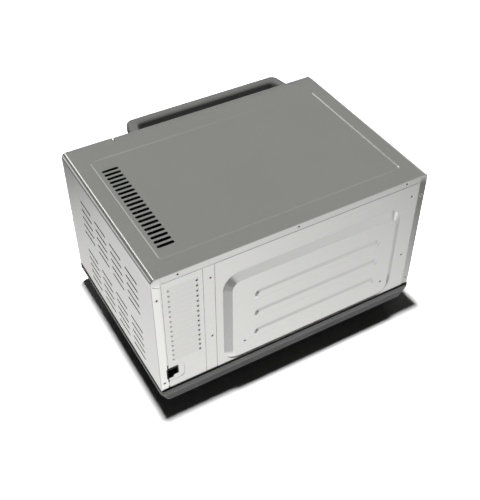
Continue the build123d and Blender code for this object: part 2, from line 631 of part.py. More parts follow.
def wire_rack():
    y1 = RACK_Y0 + RACK_DEPTH
    rack = rod_y(RACK_X0 + RAIL_R, RACK_Y0 + RAIL_R, y1 - RAIL_R, RACK_Z, RAIL_R)
    rack += rod_y(RACK_X1 - RAIL_R, RACK_Y0 + RAIL_R, y1 - RAIL_R, RACK_Z, RAIL_R)
    for y in (RACK_Y0 + RAIL_R, RACK_Y0 + RACK_DEPTH / 2, y1 - RAIL_R):
        rack += rod_x(RACK_X0 + RAIL_R, RACK_X1 - RAIL_R, y, RACK_Z, RAIL_R)
    rack += [Pos(x, y, RACK_Z) * Sphere(RAIL_R) for x in (RACK_X0 + RAIL_R, RACK_X1 - RAIL_R)
             for y in (RACK_Y0 + RAIL_R, y1 - RAIL_R)]
    wires = 15
    pitch = (RACK_X1 - RACK_X0) / (wires + 1)
    rack += [rod_y(RACK_X0 + pitch * (step + 1), RACK_Y0 + 1.0, y1 - 1.0, RACK_Z + 1.6, WIRE_R)
             for step in range(wires)]
    return rack


# ---- door ---------------------------------------------------------------------------------
DOOR_BACK = FRONT + DOOR_THICK
DOOR_WALL = 2.5
MOUTH_GAP = 3.0
PAN_DEPTH = 16.0
PAN_BACK = FRAME_Y + PAN_DEPTH


def door_frame():
    slab = block(DOOR_X0, DOOR_X1, FRONT, DOOR_BACK, DOOR_Z0, TOP)
    slab = fillet(slab.edges().filter_by(Axis.Y).group_by(Axis.Z)[-1].sort_by(Axis.X)[0], 6.0)
    slab = fillet(slab.faces().sort_by(Axis.Y)[0].edges(), 1.6)
    slab -= slab_y(WINDOW_X[0], WINDOW_X[1], WINDOW_Z[0], WINDOW_Z[1], FRONT - 1, DOOR_BACK + 1, 8.0)
    # hollow back, leaving a rim, a window surround and bosses for the hinges and the handle
    hollow = slab_y(DOOR_X0 + DOOR_WALL, DOOR_X1 - DOOR_WALL, DOOR_Z0 + DOOR_WALL, TOP - DOOR_WALL,
                    FRONT + DOOR_WALL, DOOR_BACK + 1, 4.0)
    hollow -= slab_y(WINDOW_X[0] - 11, WINDOW_X[1] + 11, WINDOW_Z[0] - 11, WINDOW_Z[1] + 11,
                     FRONT, DOOR_BACK + 2, 12.0)
    for x in HINGE_X:
        hollow -= block(x - 12, x + 12, FRONT, DOOR_BACK + 2, DOOR_Z0, PIVOT_Z + 9)
    for x in (HANDLE_DOOR_X[0] + 10, HANDLE_DOOR_X[1] - 10):
        hollow -= rod_y(x, FRONT, DOOR_BACK + 2, HANDLE_SCREW_Z, 8.0)
    slab -= hollow
    # rebate for the outer glass
    slab -= slab_y(WINDOW_X[0] - 8, WINDOW_X[1] + 8, WINDOW_Z[0] - 8, WINDOW_Z[1] + 8,
                   FRONT + 2.5, DOOR_BACK + 1, 10.0)
    for x in HINGE_X:
        half = KNUCKLE_WIDTH / 2 + 0.7
        slab -= block(x - half, x + half, FRONT + 1.0, DOOR_BACK + 1, DOOR_Z0 - 1, PIVOT_Z + 5.4)
    return slab - hinge_pins() - handle_screws()


def hinge_pins():
    return [rod_x(x - 9, x + 9, PIVOT_Y, PIVOT_Z, PIN_R) for x in HINGE_X]


def door_outer_glass():
    return slab_y(WINDOW_X[0] - 7.5, WINDOW_X[1] + 7.5, WINDOW_Z[0] - 7.5, WINDOW_Z[1] + 7.5,
                  FRONT + 2.5, FRONT + 6.5, 9.0)


def door_inner_panel():
    """Steel pan on the back of the door; its box part enters the cavity's mouth."""
    flange = slab_y(DOOR_X0 + 1.5, DOOR_X1 - 1.5, PIVOT_Z + 7, TOP - 1.5, DOOR_BACK, DOOR_BACK + 0.8, 5.0)
    x0, x1 = CAV_X0 + MOUTH_GAP, CAV_X1 - MOUTH_GAP
    z0, z1 = CAV_Z0 + MOUTH_GAP, CAV_Z1 - MOUTH_GAP
    pan = flange + slab_y(x0, x1, z0, z1, DOOR_BACK, PAN_BACK, 6.0)
    pan -= slab_y(x0 + 1, x1 - 1, z0 + 1, z1 - 1, DOOR_BACK - 1, PAN_BACK - 1.0, 5.0)
    return pan - slab_y(*WINDOW_X, *WINDOW_Z, DOOR_BACK - 1, PAN_BACK + 1, 8.0)


def door_inner_glass():
    return slab_y(WINDOW_X[0] - 9, WINDOW_X[1] + 9, WINDOW_Z[0] - 9, WINDOW_Z[1] + 9,
                  PAN_BACK - 5.0, PAN_BACK - 1.0, 8.0)


def door_seal():
    y0, y1 = DOOR_BACK + 0.8, FRAME_Y - 0.35
    ring = slab_y(CAV_X0 - 7, CAV_X1 + 7, CAV_Z0 - 6, CAV_Z1 + 6, y0, y1, 5.0)
    return ring - slab_y(CAV_X0 - 2.4, CAV_X1 + 2.4, CAV_Z0 - 2.4, CAV_Z1 + 2.4, y0 - 1, y1 + 1, 4.0)


HANDLE_TOP = TOP - 5.0
HANDLE_HEIGHT = 22.0
HANDLE_BAR = 18.0
HANDLE_ROUND = 6.5
HANDLE_FRONT_X = (-194.5, 114.5)
HANDLE_DOOR_X = (-204.0, 122.0)
HANDLE_POST = 17.0
HANDLE_SCREW_Z = HANDLE_TOP - HANDLE_HEIGHT / 2


def handle_outline(inset_post, inset_bar, radius, y_door):
    """Plan of the handle's outer or inner edge: sides that lean out towards the door."""
    bar_y = FRONT - HANDLE_REACH + inset_bar
    points = [(HANDLE_DOOR_X[0] + inset_post, y_door), (HANDLE_FRONT_X[0] + inset_post, bar_y),
              (HANDLE_FRONT_X[1] - inset_post, bar_y), (HANDLE_DOOR_X[1] - inset_post, y_door)]
    plan = make_face(Polyline(*points, close=True))
    return fillet(plan.vertices().sort_by(Axis.Y)[:2], radius)


def door_handle():
    outer = handle_outline(0.0, 0.0, 15.0, FRONT)
    inner = handle_outline(HANDLE_POST, HANDLE_BAR, 10.0, FRONT + 1)
    bar = Pos(0, 0, HANDLE_TOP - HANDLE_HEIGHT) * extrude(outer - inner, amount=HANDLE_HEIGHT)
    ends = bar.faces().filter_by(Plane.XZ).sort_by(Axis.Y)[-2:]
    kept = [edge for face in ends for edge in face.edges()]
    upright = bar.edges().filter_by(Axis.Z)
    rim = [edge for edge in bar.edges() if edge not in kept and edge not in upright]
    return fillet(rim, HANDLE_ROUND) - handle_screws()


def handle_screws():
    """Screws that hold the handle's posts from inside the door."""
    screws = []
    for x in (HANDLE_DOOR_X[0] + 10, HANDLE_DOOR_X[1] - 10):
        screw = rod_y(x, FRONT - 12, DOOR_BACK - 3, HANDLE_SCREW_Z, 2.0)
        screws.append(screw + rod_y(x, DOOR_BACK - 3, DOOR_BACK - 0.2, HANDLE_SCREW_Z, 4.0))
    return screws


def door_striker():
    """Rounded tongue that the roller catch grips."""
    y0 = DOOR_BACK + 0.8
    tongue = block(CATCH_X - 4, CATCH_X + 4, y0, y0 + 9, CATCH_Z - 1.5, CATCH_Z + 1.5)
    tongue = fillet(tongue.faces().sort_by(Axis.Y)[-1].edges().filter_by(Axis.X), 1.2)
    return tongue + block(CATCH_X - 10, CATCH_X + 10, y0, y0 + 1.0, CATCH_Z - 4, CATCH_Z + 5)


# ---- control panel ------------------------------------------------------------------------
def button_places():
    return [(PANEL_X + sx * BUTTON_PITCH_X / 2, BUTTON_Z + sz * BUTTON_PITCH_Z / 2)
            for sz in (1, -1) for sx in (-1, 1)]


DISPLAY = (PANEL_X - 33.0, PANEL_X + 33.0, 222.0, 280.0)


def control_fascia():
    x0, x1 = PANEL_X0, PANEL_X1 - 0.3
    z0, z1 = BASE_TOP + 1.0, TOP - SHEET - 0.3
    fascia = block(x0, x1, FRONT, FRAME_Y, z0, z1)
    fascia = fillet(fascia.edges().filter_by(Axis.Y).group_by(Axis.Z)[-1].sort_by(Axis.X)[-1],
                    COVER_EDGE_R - SHEET)
    fascia = fillet(fascia.faces().sort_by(Axis.Y)[0].edges(), 1.2)
    fascia -= block(x0 + 2, x1 - 2, FRONT + PANEL_THICK, FRAME_Y + 1, z0 + 2, z1 - 2)
    fascia -= slab_y(*DISPLAY, FRONT - 1, FRONT + 5, 3.0)
    fascia -= rod_y(PANEL_X, FRONT - 1, FRONT + 5, KNOB_Z, 5.0)
    for x, z in button_places():
        fascia -= slab_y(x - BUTTON_W / 2 - 0.4, x + BUTTON_W / 2 + 0.4, z - BUTTON_H / 2 - 0.4,
                         z + BUTTON_H / 2 + 0.4, FRONT - 1, FRONT + 5, 2.4)
    return fascia - slab_y(PANEL_X - 11, PANEL_X + 11, ROCKER_Z - 10, ROCKER_Z + 10,
                           FRONT - 1, FRONT + 5)


def display_window():
    x0, x1, z0, z1 = DISPLAY
    window = slab_y(x0 + 0.2, x1 - 0.2, z0 + 0.2, z1 - 0.2, FRONT + 0.4, FRONT + PANEL_THICK, 2.8)
    back = FRONT + PANEL_THICK
    return window + slab_y(x0 - 2, x1 + 2, z0 - 2, z1 + 2, back, back + 1, 3.0)


def display_module():
    x0, x1, z0, z1 = DISPLAY
    return block(x0 + 2, x1 - 2, FRONT + PANEL_THICK + 1.5, BOARD_Y, z0 + 2, z1 - 2)


def control_board():
    board = block(PANEL_X0 + 10, PANEL_X1 - 10, BOARD_Y, BOARD_Y + 1.6, BASE_TOP + 56, TOP - 16)
    for x, z, w, h in ((-15, 120, 18, 18), (16, 150, 14, 26), (-12, 190, 24, 12), (14, 100, 20, 14)):
        board += block(PANEL_X + x - w / 2, PANEL_X + x + w / 2, BOARD_Y + 1.6, BOARD_Y + 8,
                       BASE_TOP + z - h / 2, BASE_TOP + z + h / 2)
    return board


def knob_encoder():
    body = block(PANEL_X - 8, PANEL_X + 8, FRONT + PANEL_THICK + 2, BOARD_Y, KNOB_Z - 8, KNOB_Z + 8)
    body += rod_y(PANEL_X, FRONT - 1.5, FRONT + PANEL_THICK + 2, KNOB_Z, 4.5)
    return body - rod_y(PANEL_X, FRONT - 2, FRONT + 14, KNOB_Z, SHAFT_R + PIN_CLEARANCE)


def control_knob():
    y0 = FRONT - 18.0
    knob = rod_y(PANEL_X, y0, FRONT - 0.8, KNOB_Z, KNOB_R)
    knob = chamfer(knob.edges().filter_by(GeomType.CIRCLE).sort_by(Axis.Y)[0], 1.2)
    knob += rod_y(PANEL_X, FRONT - 3.0, FRONT - 0.8, KNOB_Z, KNOB_R + 1.5)
    for step in range(36):
        flute = Pos(PANEL_X, y0 + 6.5, KNOB_Z) * Rot(0, step * 10.0, 0) * Pos(KNOB_R + 0.5, 0, 0)
        knob -= flute * Rot(90, 0, 0) * Cylinder(0.95, 14.4)
    knob -= block(PANEL_X - 0.9, PANEL_X + 0.9, y0 - 1, y0 + 0.8, KNOB_Z + 8, KNOB_Z + 16)
    knob -= rod_y(PANEL_X, FRONT - 5.0, FRONT, KNOB_Z, 6.0)
    return knob + rod_y(PANEL_X, FRONT - 6, FRONT + 12, KNOB_Z, SHAFT_R)


def push_button(x, z):
    half_w, half_h = BUTTON_W / 2, BUTTON_H / 2
    cap = slab_y(x - half_w, x + half_w, z - half_h, z + half_h, FRONT - 2.6, FRONT + 4.0, 2.0)
    cap = fillet(cap.faces().sort_by(Axis.Y)[0].edges(), 0.8)
    flange = slab_y(x - half_w - 1.5, x + half_w + 1.5, z - half_h - 1.5, z + half_h + 1.5,
                    FRONT + PANEL_THICK + 0.35, FRONT + PANEL_THICK + 1.6, 2.5)
    return cap + flange + rod_y(x, FRONT + 4, FRONT + 10, z, 3.0)


def button_switches():
    """Key switches on the board, one behind each button."""
    start = FRONT + 10 + BUTTON_TRAVEL + 0.4
    return [block(x - 5, x + 5, start + 1.5, BOARD_Y, z - 5, z + 5) + rod_y(x, start, start + 2, z, 2.0)
            for x, z in button_places()]


def rocker_housing():
    y1 = FRONT + 24.0
    body = slab_y(PANEL_X - 13, PANEL_X + 13, ROCKER_Z - 12, ROCKER_Z + 12, FRONT - 1.2, FRONT, 2.0)
    body += block(PANEL_X - 11, PANEL_X + 11, FRONT, y1, ROCKER_Z - 10, ROCKER_Z + 10)
    body -= block(PANEL_X - 8.5, PANEL_X + 8.5, FRONT - 2, FRONT + 15, ROCKER_Z - 8.5, ROCKER_Z + 8.5)
    for x in (-6.0, 6.0):
        body += block(PANEL_X + x - 0.4, PANEL_X + x + 0.4, y1, y1 + 6, ROCKER_Z - 3, ROCKER_Z + 3)
    return body - rod_x(PANEL_X - 10.2, PANEL_X + 10.2, FRONT + 6, ROCKER_Z, 1.5 + PIN_CLEARANCE)


def power_rocker():
    """Two-way rocker, resting tilted to its off side."""
    points = [(-6.0, -7.2), (-7.6, 0.0), (-6.0, 7.2), (2.0, 6.4), (5.0, 0.0), (2.0, -6.4)]
    plane = Plane(origin=(-8.0, 0, 0), x_dir=(0, 1, 0), z_dir=(1, 0, 0))
    paddle = extrude(plane * make_face(Polyline(*points, close=True)), amount=16.0)
    paddle = fillet(paddle.edges().filter_by(Axis.X).sort_by(Axis.Y)[:3], 1.0)
    paddle += Rot(0, 90, 0) * Cylinder(1.5, 20.0)
    return Pos(PANEL_X, FRONT + 6, ROCKER_Z) * Rot(ROCKER_TILT, 0, 0) * paddle


# ---- electronics --------------------------------------------------------------------------
SINK_Z = (130.0, 230.0)
SINK_Y = MID_Y - 60.0


def relay_heatsink():
    x0 = PARTITION_X + PLATE
    sink = block(x0, x0 + 5, SINK_Y, SINK_Y + 100, *SINK_Z)
    for step in range(7):
        y = SINK_Y + 4 + step * 7.0
        sink += block(x0 + 5, x0 + 26, y, y + 1.8, *SINK_Z)
    return sink


def solid_state_relays():
    x0 = PARTITION_X + PLATE + 5
    relays = []
    for z in (SINK_Z[0] + 26, SINK_Z[1] - 26):
        relay = block(x0, x0 + 22, SINK_Y + 53, SINK_Y + 97, z - 21, z + 21)
        relay = fillet(relay.faces().sort_by(Axis.X)[-1].edges(), 2.0)
        relays.append(relay - block(x0 + 15, x0 + 30, SINK_Y + 57, SINK_Y + 67, z - 16, z + 16))
    return relays


def power_supply():
    z0 = CHASSIS_Z + PLATE
    case = block(156, 238, MID_Y - 20, MID_Y + 96, z0, z0 + 36)
    for step in range(9):
        slot = Pos(197, MID_Y - 8 + step * 11.0, z0 + 36)
        case -= slot * extrude(SlotOverall(56.0, 4.0), amount=2, both=True)
    return case


def terminal_block():
    z0 = CHASSIS_Z + PLATE
    strip = block(158, 212, REAR - 50, REAR - 32, z0, z0 + 16)
    for step in range(6):
        strip -= rod_z(163 + step * 8.8, REAR - 41, z0 + 8, z0 + 17, 3.0)
    return strip


def power_inlet():
    x0, x1 = INLET_X
    z0, z1 = INLET_Z
    body = inlet_form(0.0, REAR - 26, REAR + 0.4) - inlet_form(1.5, REAR - 16, REAR + 1)
    for x, z in ((x0 + 6, z1 - 7), (x1 - 5, z1 - 7), (x1 - 5, z0 + 6)):
        body += rod_y(x, REAR - 16.5, REAR - 5, z, 1.2)
    return body


def cooling_fan_frame():
    y0, y1 = COOL_Y0, COOL_Y0 + COOL_THICK
    frame = slab_y(COOL_X - 40, COOL_X + 40, COOL_Z - 40, COOL_Z + 40, y0, y1, 4.0)
    frame -= rod_y(COOL_X, y0 - 1, y1 + 1, COOL_Z, 38.0)
    for step in range(4):
        arm = Pos(COOL_X, y0 + 1.5, COOL_Z) * Rot(0, 45 + step * 90, 0) * Pos(28, 0, 0)
        frame += arm * Box(24, 3, 4)
    frame += rod_y(COOL_X, y0, y0 + 3, COOL_Z, 18.0)
    frame += rod_y(COOL_X, y0 + 3, y0 + 14, COOL_Z, 5.0)
    return frame - rod_y(COOL_X, y0 + 3, y0 + 16, COOL_Z, 1.5 + PIN_CLEARANCE)


def cooling_fan_rotor():
    y0, y1 = COOL_Y0 + 4.0, COOL_Y0 + COOL_THICK - 1.5
    hub = rod_y(COOL_X, y0, y1, COOL_Z, 17.0) - rod_y(COOL_X, y0 - 1, y1 - 3, COOL_Z, 14.0)
    for step in range(7):
        blade = Pos(26.2, 0, 0) * Rot(38, 0, 0) * Box(20.0, 1.6, 20.0)
        hub += Pos(COOL_X, (y0 + y1) / 2, COOL_Z) * Rot(0, step * 360 / 7, 0) * blade
    hub &= rod_y(COOL_X, y0, y1, COOL_Z, 36.8)
    return hub + rod_y(COOL_X, COOL_Y0 + 4, y1 - 2, COOL_Z, 1.5)


def wire(points, radius, bend):
    """Round cable through the stated points, with every corner bent."""
    path = FilletPolyline(*points, radius=bend)
    section = Plane(origin=path @ 0, z_dir=path % 0) * Circle(radius)
    return sweep(section, path=path)


def wiring_harness():
    """Cables clipped inside the electronics bay."""
    z0 = CHASSIS_Z + PLATE
    mains = wire([(222, REAR - 26, INLET_Z[0] + 12), (222, REAR - 40, INLET_Z[0] + 12),
                  (222, REAR - 40, z0 + 4), (222, REAR - 77.5, z0 + 4)], 2.5, 5.0)
    relay = wire([(190, SINK_Y + 75, SINK_Z[0] - 3), (190, SINK_Y + 75, 96),
                  (190, REAR - 41, 96), (190, REAR - 41, z0 + 17)], 2.5, 12.0)
    board = wire([(PANEL_X, BOARD_Y + 9, 118), (PANEL_X, BOARD_Y + 30, 118),
                  (PANEL_X, BOARD_Y + 30, 92), (PANEL_X, MID_Y + 10, 92), (PANEL_X, MID_Y + 10, z0 + 37)],
                 2.0, 8.0)
    return [mains, relay, board]


# ---- write every node ---------------------------------------------------------------------
os.makedirs("parts", exist_ok=True)

save("outer_cover", outer_cover())
save("base_pan", base_pan())
save("chassis_plate", chassis_plate())
save("feet", *feet())
save("rear_panel", rear_panel())
save("electronics_rear_cover", electronics_rear_cover())
save("cavity_rear_cover", cavity_rear_cover())
rear_screws = flange_screws + strip_screws + edge_screws + bump_screws
save("rear_screws", *[with_socket(screw) for screw in rear_screws])
save("front_frame", front_frame())
save("hinge_brackets", *hinge_brackets())
save("door_catch", door_catch())

save("cavity_liner", cavity_liner())
save("cavity_insulation", cavity_insulation())
save("partition_wall", partition_wall())
save("rack_guides", *rack_guides())
save("upper_heater_tubes", *heater_tubes(UPPER_HEATER_Z))
save("lower_heater_tubes", *heater_tubes(LOWER_HEATER_Z))
save("heater_end_caps", *heater_end_caps())
save("upper_reflector", reflector(UPPER_HEATER_Z + 1, 1))
save("lower_reflector", reflector(LOWER_HEATER_Z - 2, -1))
save("fan_guard", fan_guard())
save("convection_impeller", convection_impeller())
save("convection_motor", convection_motor())
save("motor_bracket", motor_bracket())
save("cavity_lamp", *cavity_lamp())
save("lamp_lens", lamp_lens())
save("thermocouple_probe", thermocouple_probe())
save("wire_rack", wire_rack())

save("door_frame", door_frame())
save("hinge_pins", *hinge_pins())
save("door_outer_glass", door_outer_glass())
save("door_inner_panel", door_inner_panel())
save("door_inner_glass", door_inner_glass())
save("door_seal", door_seal())
save("door_handle", door_handle())
save("handle_screws", *handle_screws())
save("door_striker", door_striker())

save("control_fascia", control_fascia())
save("display_window", display_window())
save("display_module", display_module())
save("control_board", control_board())
save("knob_encoder", knob_encoder())
save("control_knob", control_knob())
for name, place in zip(("start_button", "stop_button", "up_button", "down_button"), button_places()):
    save(name, push_button(*place))
save("button_switches", *button_switches())
save("rocker_housing", rocker_housing())
save("power_rocker", power_rocker())

save("relay_heatsink", relay_heatsink())
save("solid_state_relays", *solid_state_relays())
save("power_supply", power_supply())
save("terminal_block", terminal_block())
save("power_inlet", power_inlet())
save("cooling_fan_frame", cooling_fan_frame())
save("cooling_fan_rotor", cooling_fan_rotor())
save("wiring_harness", *wiring_harness())
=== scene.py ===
import json
import math

import bmesh
import bpy
from mathutils import Matrix, Vector


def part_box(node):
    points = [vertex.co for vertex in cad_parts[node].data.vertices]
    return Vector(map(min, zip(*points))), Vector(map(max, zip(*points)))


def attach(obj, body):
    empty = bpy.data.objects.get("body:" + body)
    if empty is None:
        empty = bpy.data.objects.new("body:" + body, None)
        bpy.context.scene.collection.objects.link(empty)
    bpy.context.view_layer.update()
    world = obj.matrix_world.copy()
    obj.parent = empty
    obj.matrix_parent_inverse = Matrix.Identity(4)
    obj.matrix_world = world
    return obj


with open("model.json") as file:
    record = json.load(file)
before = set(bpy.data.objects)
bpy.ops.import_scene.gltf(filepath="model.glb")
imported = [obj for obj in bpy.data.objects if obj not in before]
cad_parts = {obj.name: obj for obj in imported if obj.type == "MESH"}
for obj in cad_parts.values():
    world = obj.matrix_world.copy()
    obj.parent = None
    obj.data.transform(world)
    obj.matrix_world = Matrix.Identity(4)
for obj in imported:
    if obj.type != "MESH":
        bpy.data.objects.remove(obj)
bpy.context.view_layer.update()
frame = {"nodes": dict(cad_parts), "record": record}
nodes = frame["nodes"]
MM = 0.001


# ---- node building ------------------------------------------------------------------------
class Graph:
    """Adds linked nodes to a node tree."""

    def __init__(self, tree):
        self.tree = tree

    def node(self, kind, inputs, **settings):
        made = self.tree.nodes.new(kind)
        for key, value in settings.items():
            setattr(made, key, value)
        for key, value in inputs.items():
            if isinstance(value, bpy.types.NodeSocket):
                self.tree.links.new(value, made.inputs[key])
            else:
                made.inputs[key].default_value = value
        return made

    def span(self, value, low, high, new_low=0.0, new_high=1.0, curve="LINEAR"):
        """Maps a value from one range to another, clamped."""
        inputs = {"Value": value, "From Min": low, "From Max": high, "To Min": new_low, "To Max": new_high}
        return self.node("ShaderNodeMapRange", inputs, interpolation_type=curve).outputs[0]

    def maths(self, operation, a, b=0.0):
        return self.node("ShaderNodeMath", {0: a, 1: b}, operation=operation).outputs[0]

    def window(self, value, low, high, soft):
        """1 between low and high, falling softly to 0 on both sides."""
        rise = self.span(value, low - soft, low + soft, curve="SMOOTHSTEP")
        fall = self.span(value, high - soft, high + soft, 1.0, 0.0, "SMOOTHSTEP")
        return self.maths("MULTIPLY", rise, fall)

    def mix(self, factor, a, b):
        made = self.node("ShaderNodeMix", {0: factor, 6: a, 7: b}, data_type="RGBA")
        return made.outputs[2]


class Look(Graph):
    """Builds one procedural material around a Principled shader."""

    def __init__(self, name, **fixed):
        self.mat = bpy.data.materials.new(name)
        self.mat.use_nodes = True
        super().__init__(self.mat.node_tree)
        self.shader = self.tree.nodes["Principled BSDF"]
        for socket, value in fixed.items():
            self.shader.inputs[socket.replace("_", " ")].default_value = value
        self.coords = self.tree.nodes.new("ShaderNodeTexCoord").outputs["Object"]
        self.geometry = self.tree.nodes.new("ShaderNodeNewGeometry")

    def stretched(self, scale):
        """Object coordinates stretched by a different factor along each axis."""
        return self.node("ShaderNodeMapping", {"Vector": self.coords, "Scale": scale}).outputs[0]

    def noise(self, scale, detail=3.0, rough=0.5, vector=None):
        inputs = {"Vector": vector or self.coords, "Scale": scale, "Detail": detail, "Roughness": rough}
        return self.node("ShaderNodeTexNoise", inputs).outputs[0]

    def soft_edges(self, radius):
        """Normal that rounds every hard edge by the given radius."""
        return self.node("ShaderNodeBevel", {"Radius": radius}, samples=6).outputs[0]

    def edge_mask(self, rounded):
        """0 on flat faces, 1 right on a hard edge."""
        inputs = {0: rounded, 1: self.geometry.outputs["Normal"]}
        dot = self.node("ShaderNodeVectorMath", inputs, operation="DOT_PRODUCT").outputs["Value"]
        return self.span(dot, 0.985, 0.8)

    def bump(self, height, distance, normal):
        inputs = {"Height": height, "Distance": distance, "Strength": 1.0, "Normal": normal}
        return self.node("ShaderNodeBump", inputs).outputs[0]

    def feed(self, **sockets):
        for socket, value in sockets.items():
            self.tree.links.new(value, self.shader.inputs[socket.replace("_", " ")])
        return self.mat


def grey(value, tint=(1.0, 1.0, 1.0)):
    return (value * tint[0], value * tint[1], value * tint[2], 1.0)


# ---- materials ----------------------------------------------------------------------------
WARM_STEEL = (1.0, 1.0, 0.98)


def brushed_metal(name, value, rough, brush, edge=0.5 * MM, tint=WARM_STEEL, contrast=0.06,
                  form=None):
    """Satin metal: fine brush lines, faint clouding, soft edges and an optional form to bump."""
    look = Look(name, Metallic=1.0)
    rounded = look.soft_edges(edge)
    lines = look.noise(1.0, 4.0, 0.7, look.stretched(brush))
    clouds = look.noise(7.0, 3.0, 0.55)
    shade = look.maths("ADD", look.maths("MULTIPLY", lines, 0.6), look.maths("MULTIPLY", clouds, 0.4))
    dark, light = grey(value * (1 - contrast), tint), grey(min(value * (1 + contrast), 1.0), tint)
    worn = look.mix(look.edge_mask(rounded), look.mix(look.span(shade, 0.3, 0.7), dark, light),
                    grey(min(value * 1.18, 0.95), tint))
    look.feed(Base_Color=worn, Roughness=look.span(shade, 0.3, 0.7, rough - 0.04, rough + 0.05))
    if form is not None:
        rounded = look.bump(form(look), 1.0, rounded)
    return look.feed(Normal=look.bump(lines, 0.000018, rounded))


def leaning_flange(look):
    """Height that leans the two side bands of the rear flange back towards their outer edges."""
    x, y, z = look.node("ShaderNodeSeparateXYZ", {0: look.coords}).outputs
    drop = look.span(look.maths("ABSOLUTE", x), 0.2360, 0.2484, 0.0, -0.00093)
    drop = look.maths("MULTIPLY", drop, look.span(y, 0.10, 0.1895))
    return look.maths("MULTIPLY", drop, look.span(z, 0.2995, 0.285))


def moulded(name, value, rough, grain=900.0, depth=0.00003, edge=0.5 * MM, tint=(1.0, 1.0, 0.985),
            wear=1.5, shade=None, **fixed):
    """Paint or plastic: fine texture, faint mottling, lighter edges and an optional mask of painted shade.
    """
    look = Look(name, **fixed)
    rounded = look.soft_edges(edge)
    fine = look.noise(grain, 2.0, 0.6)
    patch = look.noise(14.0, 4.0, 0.6)
    base = look.mix(look.span(patch, 0.3, 0.7), grey(value * 0.88, tint), grey(value * 1.1, tint))
    base = look.mix(look.edge_mask(rounded), base, grey(min(value * wear, 0.95), tint))
    if shade is not None:
        # painted shade: where the mask is set, the colour falls to a quarter of its value
        base = look.mix(shade(look), base, grey(value * 0.25, tint))
    look.feed(Base_Color=base, Roughness=look.span(patch, 0.3, 0.7, rough - 0.05, rough + 0.06))
    return look.feed(Normal=look.bump(fine, depth, rounded))


def lower_painted_shade(look):
    """Mask of painted shade that darkens the plinth's lower band, with an uneven upper limit."""
    z = look.node("ShaderNodeSeparateXYZ", {0: look.coords}).outputs[2]
    height = look.maths("ADD", z, look.maths("MULTIPLY", look.noise(30.0), 0.003))
    return look.span(height, 0.0385, 0.0345, curve="SMOOTHSTEP")


def clear_glass(name, tint, alpha, rough=0.03):
    """Thin tempered glass with a faint film of dust."""
    look = Look(name, IOR=1.5, Transmission_Weight=0.0)
    dust = look.noise(60.0, 6.0, 0.65)
    look.feed(Base_Color=look.mix(look.span(dust, 0.35, 0.75), grey(tint), grey(tint * 1.2 + 0.01)))
    look.feed(Alpha=look.span(dust, 0.35, 0.75, alpha, min(alpha + 0.02, 1.0)))
    return look.feed(Roughness=look.span(dust, 0.3, 0.8, rough, rough + 0.05))


materials = {
    "painted_cover": brushed_metal("cover_steel", 0.68, 0.2, (30, 900, 900), contrast=0.04,
                                   form=leaning_flange),
    "rear_steel": brushed_metal("rear_steel", 0.73, 0.24, (30, 900, 900), contrast=0.03),
    "door_metal": brushed_metal("door_steel", 0.62, 0.3, (25, 900, 1100)),
    # the plinth paint carries painted shade on its lower band
    "dark_plinth": moulded("plinth_paint", 0.09, 0.5, 500.0, 0.00006, 1.2 * MM, shade=lower_painted_shade),
    "handle_plastic": moulded("handle_paint", 0.10, 0.34, 700.0, 0.00003, 1.0 * MM, Metallic=0.55),
    "galvanised_steel": brushed_metal("zinc_steel", 0.55, 0.45, (60, 60, 60), contrast=0.16),
    "rubber": moulded("rubber", 0.018, 0.75, 1200.0, 0.00008, wear=2.0),
    "steel_screw": brushed_metal("screw_steel", 0.7, 0.4, (400, 400, 400), 0.2 * MM),
    "painted_frame": moulded("frame_paint", 0.16, 0.45),
    "black_plastic": moulded("black_plastic", 0.02, 0.5, wear=2.2),
    "stainless_steel": brushed_metal("cavity_steel", 0.6, 0.3, (40, 900, 900), 0.4 * MM),
    "insulation_wool": moulded("insulation_wool", 0.72, 0.95, 240.0, 0.0012, tint=(1.0, 0.97, 0.88)),
    "quartz_tube": clear_glass("quartz_tube", 0.86, 0.32, 0.22),
    "ceramic": moulded("ceramic", 0.78, 0.7, 600.0, 0.00004, tint=(1.0, 0.98, 0.93), wear=1.08),
    "polished_reflector": brushed_metal("reflector_steel", 0.82, 0.16, (40, 900, 900)),
    "motor_steel": brushed_metal("motor_steel", 0.4, 0.45, (80, 900, 80), contrast=0.2),
    "clear_glass": clear_glass("clear_glass", 0.6, 0.12),
    "tinted_glass": clear_glass("tinted_glass", 0.01, 0.5),
    "fascia": moulded("fascia_paint", 0.035, 0.32, 1400.0, 0.00001, 0.8 * MM, wear=2.0),
    "display_glass": moulded("display_glass", 0.006, 0.08, 40.0, 0.0, wear=2.0),
    "circuit_board": moulded("circuit_board", 0.12, 0.4, 300.0, 0.0001, tint=(0.35, 1.0, 0.5)),
    "heatsink_aluminium": brushed_metal("heatsink", 0.7, 0.35, (60, 60, 900), contrast=0.1),
    "cable_sleeve": moulded("cable_sleeve", 0.03, 0.5),
    "seal_rubber": moulded("seal_rubber", 0.05, 0.65, 500.0, 0.0002, wear=1.6),
    "chrome_wire": brushed_metal("chrome_wire", 0.78, 0.14, (200, 200, 200), contrast=0.03),
    "knob_plastic": moulded("knob_plastic", 0.04, 0.36, 900.0, 0.00002, 0.3 * MM, wear=2.4),
    "button_plastic": moulded("button_plastic", 0.16, 0.4, 1100.0, 0.00002, 0.6 * MM),
}
for part in frame["record"]["subparts"]:
    mesh = nodes[part["node"]].data
    mesh.materials.clear()
    mesh.materials.append(materials[part["material_slot"]])


# ---- added pieces -------------------------------------------------------------------------
def mesh_piece(name, build, look, body):
    """Object whose mesh is filled in by build(bm), with one material, riding on a body."""
    mesh = bpy.data.meshes.new(name)
    bm = bmesh.new()
    build(bm)
    bmesh.ops.recalc_face_normals(bm, faces=bm.faces)
    bm.to_mesh(mesh)
    bm.free()
    mesh.materials.append(look)
    piece = bpy.data.objects.new(name, mesh)
    bpy.context.scene.collection.objects.link(piece)
    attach(piece, body)
    return piece


